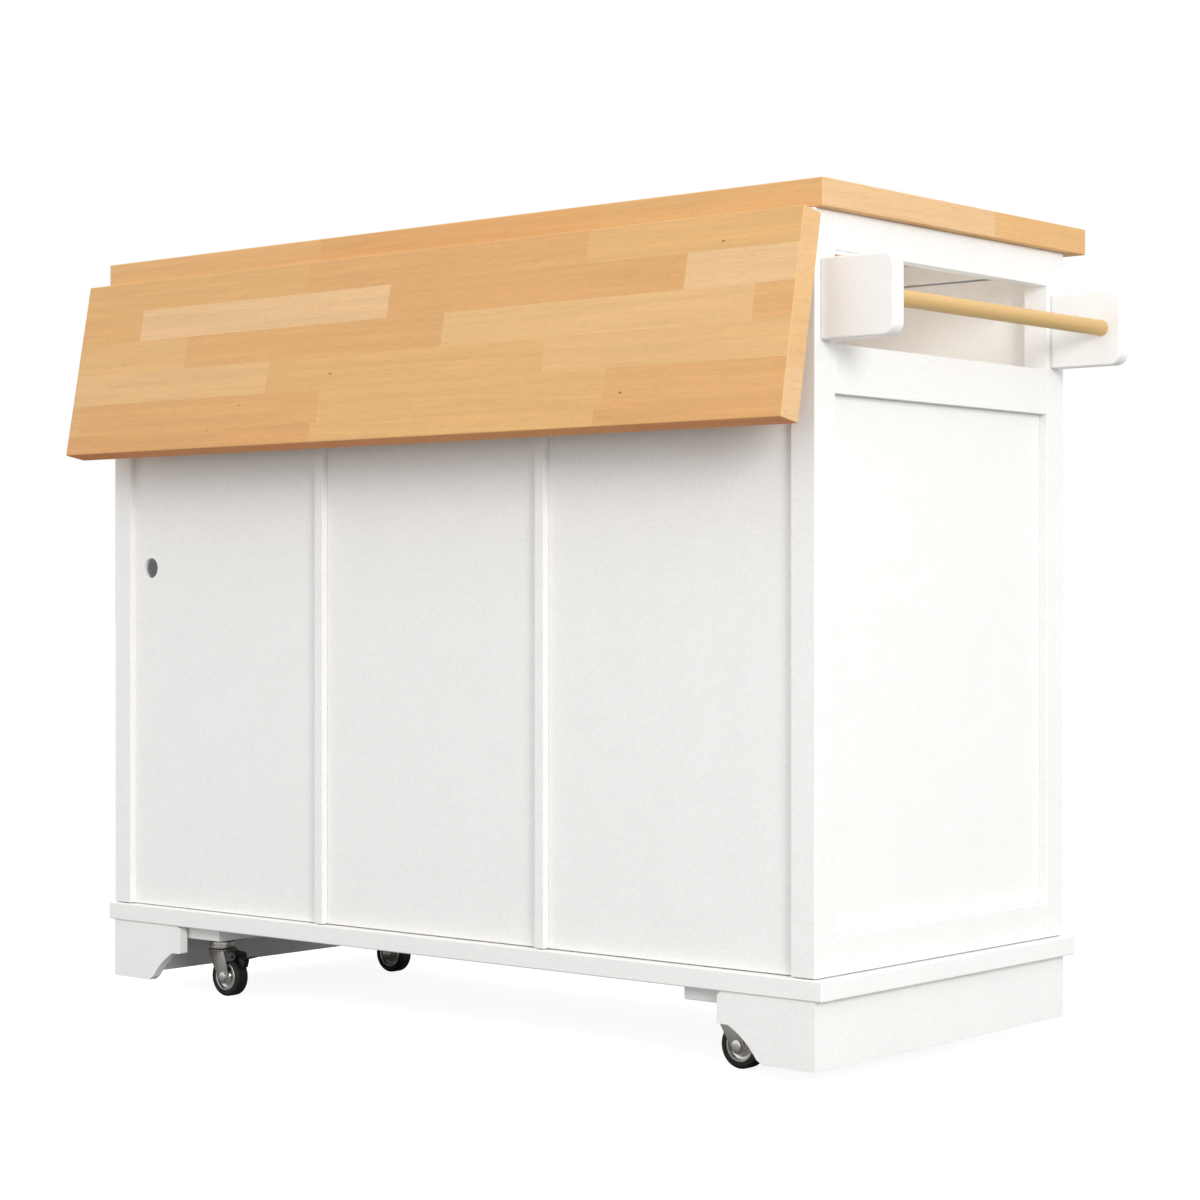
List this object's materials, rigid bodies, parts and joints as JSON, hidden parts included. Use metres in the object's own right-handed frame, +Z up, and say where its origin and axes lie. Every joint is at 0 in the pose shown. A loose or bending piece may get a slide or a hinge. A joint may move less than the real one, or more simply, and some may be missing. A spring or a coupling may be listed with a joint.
{
  "type": "kitchen island cart",
  "caption": "Rolling kitchen island cart with a butcher-block top, a drop leaf on folding supports, doors, drawers, an end niche and a towel rail.",
  "frame": {"origin": "on the floor, under the middle of the whole cart's bounding box", "axes": "+X along the cart, away from the towel rail; +Y to the back, where the drop leaf hangs; +Z up. The doors and drawers face -Y"},
  "size_m": [1.208, 0.5924, 0.93],
  "materials": {
    "white_paint": "sprayed white paint, satin",
    "butcher_block": "oiled, edge-glued beech staves",
    "dowel_wood": "turned and oiled",
    "drawer_wood": "planed and clear lacquered",
    "nickel_plate": "satin nickel plate",
    "zinc_plate": "dark zinc plate",
    "hub_steel": "pressed and zinc plated",
    "tyre_rubber": "moulded, matt",
    "brake_plastic": "moulded black nylon"
  },
  "bodies": {
    "cart": {"worktop": "butcher_block", "corner_posts": "white_paint", "side_rails": "white_paint", "side_panels": "white_paint", "back_panels": "white_paint", "cable_back_panel": "white_paint", "partitions": "white_paint", "cabinet_floor": "white_paint", "base_board": "white_paint", "end_plinths": "white_paint", "ogee_feet": "white_paint", "caster_boards": "white_paint", "back_top_rail": "white_paint", "front_rails": "white_paint", "niche_floor": "white_paint", "shelves": "white_paint", "shelf_brackets": "nickel_plate", "towel_arms": "white_paint", "towel_dowel": "dowel_wood", "false_front": "white_paint", "false_front_knob": "nickel_plate", "leaf_hinge_plates": "nickel_plate", "leaf_support_brackets": "zinc_plate", "door_hinge_plates": "nickel_plate", "drawer_runners": "nickel_plate", "caster_plates": "zinc_plate"},
    "leaf": {"drop_leaf": "butcher_block", "leaf_hinge_straps": "nickel_plate", "leaf_support_arms": "zinc_plate"},
    "strut_left": {"leaf_strut_left": "zinc_plate"},
    "strut_right": {"leaf_strut_right": "zinc_plate"},
    "door_left": {"door_left_frame": "white_paint", "door_left_panel": "white_paint", "door_left_hardware": "nickel_plate"},
    "door_middle": {"door_middle_frame": "white_paint", "door_middle_panel": "white_paint", "door_middle_hardware": "nickel_plate"},
    "door_right": {"door_right_frame": "white_paint", "door_right_panel": "white_paint", "door_right_hardware": "nickel_plate"},
    "drawer_middle": {"drawer_middle_front": "white_paint", "drawer_middle_box": "drawer_wood", "drawer_middle_hardware": "nickel_plate"},
    "drawer_right": {"drawer_right_front": "white_paint", "drawer_right_box": "drawer_wood", "drawer_right_hardware": "nickel_plate"},
    "swivel_front_left": {"fork_front_left": "zinc_plate"},
    "wheel_front_left": {"hub_front_left": "hub_steel", "tyre_front_left": "tyre_rubber"},
    "swivel_front_right": {"fork_front_right": "zinc_plate"},
    "wheel_front_right": {"hub_front_right": "hub_steel", "tyre_front_right": "tyre_rubber"},
    "swivel_back_left": {"fork_back_left": "zinc_plate"},
    "wheel_back_left": {"hub_back_left": "hub_steel", "tyre_back_left": "tyre_rubber"},
    "swivel_back_right": {"fork_back_right": "zinc_plate"},
    "wheel_back_right": {"hub_back_right": "hub_steel", "tyre_back_right": "tyre_rubber"},
    "pedal_back_left": {"brake_back_left": "brake_plastic"},
    "pedal_back_right": {"brake_back_right": "brake_plastic"}
  },
  "joints": [
    {"name": "leaf_hinge", "type": "hinge", "parent": "cart", "child": "leaf", "pos_m": [0.04, 0.22231, 0.896], "axis": [1, 0, 0], "range_deg": [0, 79.6]},
    {"name": "strut_left_pivot", "type": "hinge", "parent": "cart", "child": "strut_left", "pos_m": [-0.205, 0.23331, 0.816], "axis": [1, 0, 0], "range_deg": [0, 123.7]},
    {"name": "strut_right_pivot", "type": "hinge", "parent": "cart", "child": "strut_right", "pos_m": [0.295, 0.23331, 0.816], "axis": [1, 0, 0], "range_deg": [0, 123.7]},
    {"name": "door_left_hinge", "type": "hinge", "parent": "cart", "child": "door_left", "pos_m": [-0.482, -0.26769, 0.4245], "axis": [0, 0, -1], "range_deg": [0, 110]},
    {"name": "door_middle_hinge", "type": "hinge", "parent": "cart", "child": "door_middle", "pos_m": [-0.12867, -0.26769, 0.4245], "axis": [0, 0, -1], "range_deg": [0, 110]},
    {"name": "door_right_hinge", "type": "hinge", "parent": "cart", "child": "door_right", "pos_m": [0.562, -0.26769, 0.4245], "axis": [0, 0, 1], "range_deg": [0, 110]},
    {"name": "drawer_middle_slide", "type": "slide", "parent": "cart", "child": "drawer_middle", "axis": [0, -1, 0], "range_m": [0, 0.33]},
    {"name": "drawer_right_slide", "type": "slide", "parent": "cart", "child": "drawer_right", "axis": [0, -1, 0], "range_m": [0, 0.33]},
    {"name": "swivel_front_left", "type": "hinge", "parent": "cart", "child": "swivel_front_left", "pos_m": [-0.368, -0.12119, 0.057], "axis": [0, 0, 1], "continuous": true},
    {"name": "wheel_front_left", "type": "hinge", "parent": "swivel_front_left", "child": "wheel_front_left", "pos_m": [-0.382, -0.12119, 0.025], "axis": [0, 1, 0], "continuous": true},
    {"name": "swivel_front_right", "type": "hinge", "parent": "cart", "child": "swivel_front_right", "pos_m": [0.448, -0.12119, 0.057], "axis": [0, 0, 1], "continuous": true},
    {"name": "wheel_front_right", "type": "hinge", "parent": "swivel_front_right", "child": "wheel_front_right", "pos_m": [0.434, -0.12119, 0.025], "axis": [0, 1, 0], "continuous": true},
    {"name": "swivel_back_left", "type": "hinge", "parent": "cart", "child": "swivel_back_left", "pos_m": [-0.368, 0.17081, 0.057], "axis": [0, 0, 1], "continuous": true},
    {"name": "wheel_back_left", "type": "hinge", "parent": "swivel_back_left", "child": "wheel_back_left", "pos_m": [-0.382, 0.17081, 0.025], "axis": [0, 1, 0], "continuous": true},
    {"name": "brake_back_left", "type": "hinge", "parent": "swivel_back_left", "child": "pedal_back_left", "pos_m": [-0.398, 0.17081, 0.051], "axis": [0, -1, 0], "range_deg": [0, 12]},
    {"name": "swivel_back_right", "type": "hinge", "parent": "cart", "child": "swivel_back_right", "pos_m": [0.448, 0.17081, 0.057], "axis": [0, 0, 1], "continuous": true},
    {"name": "wheel_back_right", "type": "hinge", "parent": "swivel_back_right", "child": "wheel_back_right", "pos_m": [0.434, 0.17081, 0.025], "axis": [0, 1, 0], "continuous": true},
    {"name": "brake_back_right", "type": "hinge", "parent": "swivel_back_right", "child": "pedal_back_right", "pos_m": [0.418, 0.17081, 0.051], "axis": [0, -1, 0], "range_deg": [0, 12]}
  ],
  "couplings": [
    {"joint": "strut_left_pivot", "follows": "leaf_hinge", "ratio": 1.552},
    {"joint": "strut_right_pivot", "follows": "leaf_hinge", "ratio": 1.552}
  ]
}
